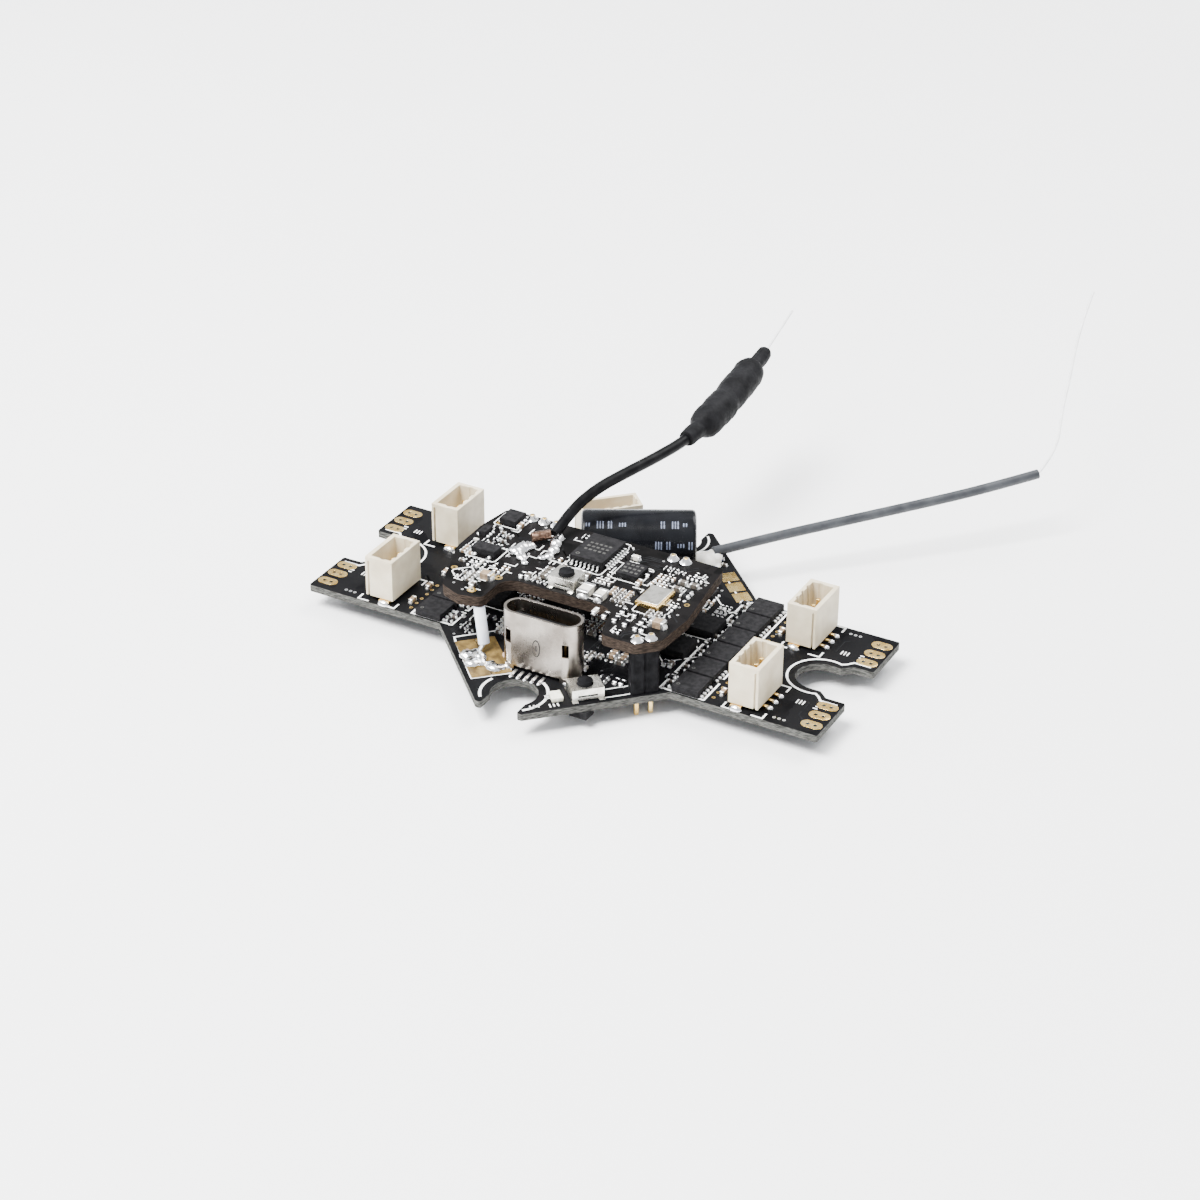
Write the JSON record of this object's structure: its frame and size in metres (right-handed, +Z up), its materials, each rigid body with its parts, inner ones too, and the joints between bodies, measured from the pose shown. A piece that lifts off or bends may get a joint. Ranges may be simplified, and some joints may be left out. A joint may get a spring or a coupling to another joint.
{
  "type": "flight controller board",
  "caption": "Small quadcopter flight controller board with four motor sockets, an upright USB socket and a stacked video transmitter board.",
  "frame": {"origin": "below the centre of the main board, on the surface that the pin tails stand on", "axes": "+X along the right arm, -Y towards the USB socket, +Z up out of the component side"},
  "size_m": [0.0629, 0.0942, 0.0171],
  "materials": {
    "aluminium": "satin",
    "black_plastic": "matte",
    "board_black": "satin black solder mask",
    "ceramic_tan": "fired ceramic",
    "chip_black": "fine matte",
    "clear_wire": "clear",
    "copper": "braided",
    "cream_plastic": "matte",
    "glue": "cloudy",
    "gold": "gold plated",
    "grey_tube": "satin",
    "heat_shrink": "matte",
    "led_yellow": "clear",
    "paper": "wound paper and foil",
    "rubber": "matte",
    "sleeve_black": "semi-gloss",
    "solder": "bright solder",
    "steel": "drawn steel",
    "tin": "tin plated",
    "white_plastic": "satin"
  },
  "bodies": {
    "board": {"antenna_braid": "copper", "antenna_coax": "sleeve_black", "antenna_sleeve": "heat_shrink", "antenna_solder": "solder", "antenna_tip": "clear_wire", "battery_pads": "gold", "battery_solder": "solder", "boot_switch_base": "black_plastic", "boot_switch_cover": "steel", "boot_switch_dome": "steel", "camera_socket": "cream_plastic", "camera_socket_pins": "gold", "capacitor_bung": "rubber", "capacitor_can": "aluminium", "capacitor_leads": "tin", "capacitor_sleeve": "sleeve_black", "capacitor_winding": "paper", "ceramic_capacitors": "ceramic_tan", "chip_resistors": "chip_black", "crystal_base": "gold", "crystal_lid": "steel", "flight_processor": "chip_black", "gyro_chip": "chip_black", "header_housings": "black_plastic", "header_pins": "gold", "header_solder": "solder", "jumper_conductor": "tin", "jumper_insulation": "white_plastic", "main_board": "board_black", "mosfet_leads": "tin", "mosfets": "chip_black", "motor_drivers": "chip_black", "motor_pads": "gold", "motor_socket_front_left": "cream_plastic", "motor_socket_front_right": "cream_plastic", "motor_socket_pins": "gold", "motor_socket_rear_left": "cream_plastic", "motor_socket_rear_right": "cream_plastic", "osd_chip": "chip_black", "osd_chip_legs": "tin", "power_inductors": "chip_black", "rear_pads": "gold", "receiver_chip": "chip_black", "receiver_glue": "glue", "receiver_tube": "grey_tube", "receiver_wire": "clear_wire", "regulators": "chip_black", "status_led": "led_yellow", "transmitter_chip": "chip_black", "usb_base": "black_plastic", "usb_contacts": "gold", "usb_shell": "steel", "usb_tails": "tin", "usb_tongue": "black_plastic", "video_board": "board_black", "video_switch_base": "black_plastic", "video_switch_cover": "steel", "video_switch_dome": "steel"},
    "boot_plunger": {"boot_switch_plunger": "black_plastic"},
    "video_plunger": {"video_switch_plunger": "black_plastic"}
  },
  "joints": [
    {"name": "boot_switch_press", "type": "slide", "parent": "board", "child": "boot_plunger", "axis": [0, 0, -1], "range_m": [0, 0.00025], "stiffness_N_per_m": 2000, "deforming": ["boot_switch_dome"]},
    {"name": "video_switch_press", "type": "slide", "parent": "board", "child": "video_plunger", "axis": [0, 0, -1], "range_m": [0, 0.00025], "stiffness_N_per_m": 2000, "deforming": ["video_switch_dome"]}
  ]
}
